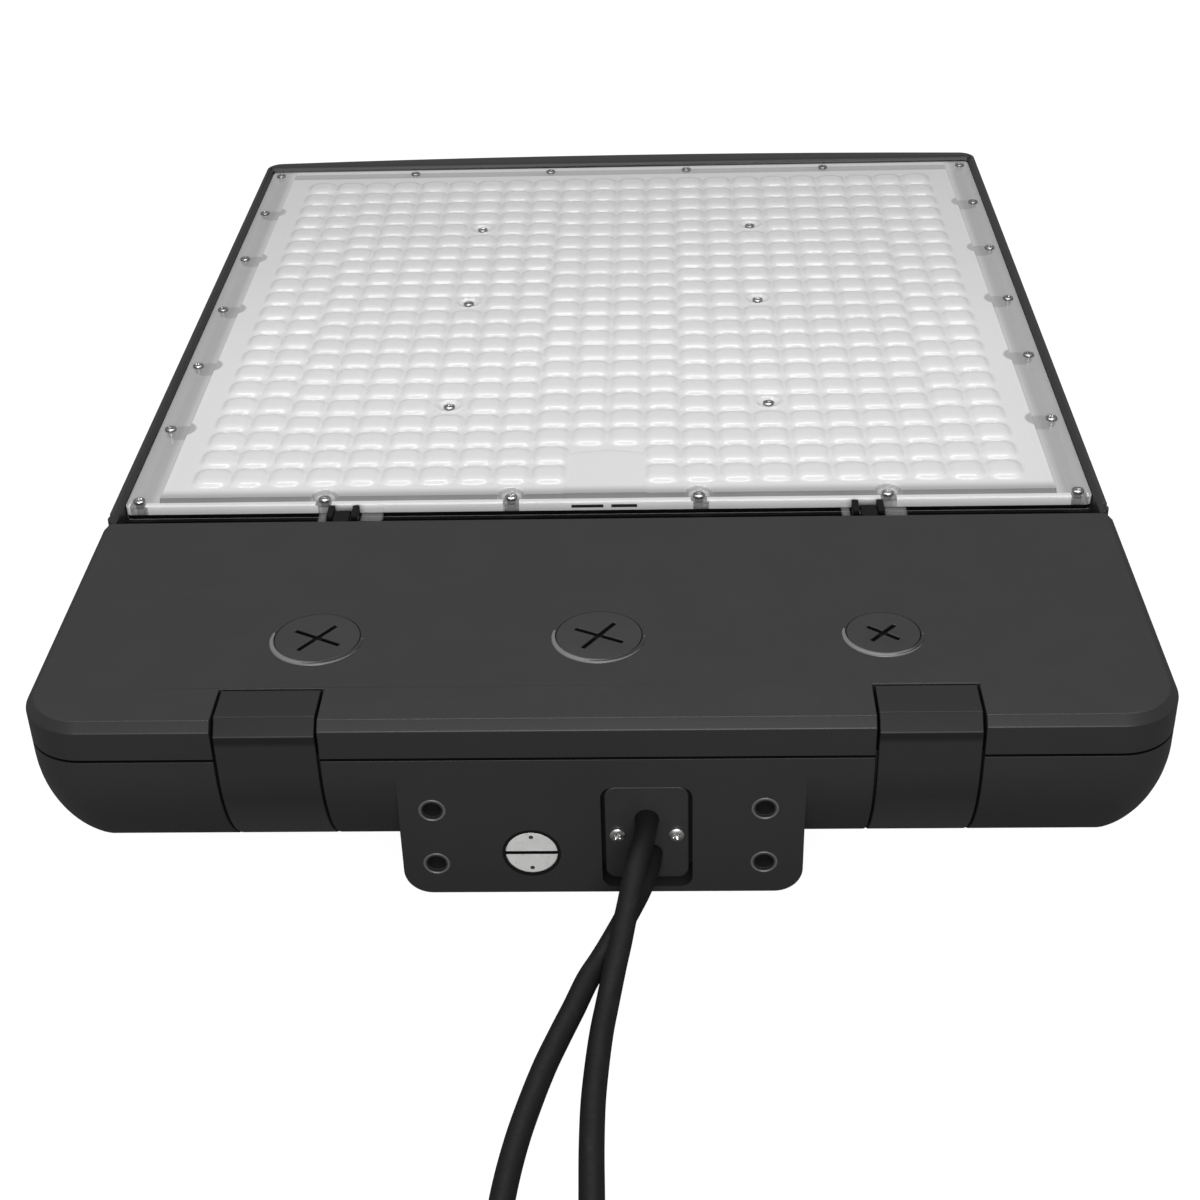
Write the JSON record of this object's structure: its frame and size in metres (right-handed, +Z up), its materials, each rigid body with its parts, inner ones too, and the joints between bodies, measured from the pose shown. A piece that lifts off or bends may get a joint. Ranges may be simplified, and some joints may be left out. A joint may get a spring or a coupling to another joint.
{
  "type": "shoebox area light",
  "caption": "Outdoor shoebox area light: a thin black body with a clear domed lens cover over LED boards, a hinged compartment door with strap latches, and a bolt-on mounting face with cables.",
  "frame": {"origin": "bottom centre of the fixture lying on its back, without its two free cables", "axes": "+Z up, the side that sends out the light; +Y away from the mounting end; +X to the right when looking at the mounting end"},
  "size_m": [0.4, 0.8007, 0.077],
  "materials": {
    "casting_black": "satin black powder coat with a fine grain over die-cast aluminium",
    "sink_black": "satin black coat, slightly dusty between the fins",
    "strap_black": "satin black powder coat, a little smoother than the castings",
    "plug_black": "satin moulded black plastic",
    "plate_black": "matte moulded black plastic",
    "screw_steel": "satin stainless steel",
    "pin_steel": "turned stainless steel",
    "bright_zinc": "bright die-cast metal with fine turning marks",
    "lens_clear": "clear moulded polycarbonate with domed lenslets",
    "board_white": "white solder-mask board",
    "led_phosphor": "yellow phosphor in a white package",
    "gasket_grey": "light grey silicone",
    "gasket_black": "matte black silicone foam",
    "driver_metal": "satin aluminium case",
    "module_black": "matte black plastic",
    "terminal_white": "white polyamide",
    "ground_green": "green passivated steel",
    "lead_insulation": "smooth coloured insulation, one colour for each lead",
    "cord_black": "matte black rubber jacket with faint handling marks",
    "copper": "bare copper strands",
    "tie_black": "black nylon tie"
  },
  "bodies": {
    "fixture": {"housing": "casting_black", "led_frame": "casting_black", "heat_sink_plate": "sink_black", "heat_sink_fins": "sink_black", "frame_bolts": "screw_steel", "led_board_left": "board_white", "led_board_middle": "board_white", "led_board_right": "board_white", "lens_gasket": "gasket_grey", "lens_cover": "lens_clear", "lens_rim_screws": "screw_steel", "lens_field_screws": "screw_steel", "door_gasket": "gasket_black", "door_hinge_pins": "pin_steel", "latch_pins": "pin_steel", "led_driver": "driver_metal", "driver_screws": "screw_steel", "surge_protector": "module_black", "terminal_block": "terminal_white", "ground_screw": "ground_green", "internal_leads": "lead_insulation", "conduit_plug": "bright_zinc", "conduit_plug_seal": "gasket_black", "gland_plate": "plate_black", "gland_seal": "gasket_black", "gland_screws": "screw_steel", "cable_stubs": "cord_black", "power_cord": "cord_black", "power_cord_coil": "cord_black", "control_cord": "cord_black", "control_cord_coil": "cord_black"},
    "door": {"door": "casting_black", "door_plug_left": "plug_black", "door_plug_middle": "plug_black", "door_plug_right": "plug_black", "door_plug_seals": "gasket_black"},
    "latch_left": {"latch_left": "strap_black"},
    "latch_right": {"latch_right": "strap_black"}
  },
  "joints": [
    {"name": "door_hinge", "type": "hinge", "parent": "fixture", "child": "door", "pos_m": [0, -0.1275, 0.071], "axis": [-1, 0, 0], "range_deg": [0, 100]},
    {"name": "latch_left_hinge", "type": "hinge", "parent": "fixture", "child": "latch_left", "pos_m": [-0.1135, -0.23476, 0.00796], "axis": [1, 0, 0], "range_deg": [0, 60]},
    {"name": "latch_right_hinge", "type": "hinge", "parent": "fixture", "child": "latch_right", "pos_m": [0.1135, -0.23476, 0.00796], "axis": [1, 0, 0], "range_deg": [0, 60]}
  ]
}
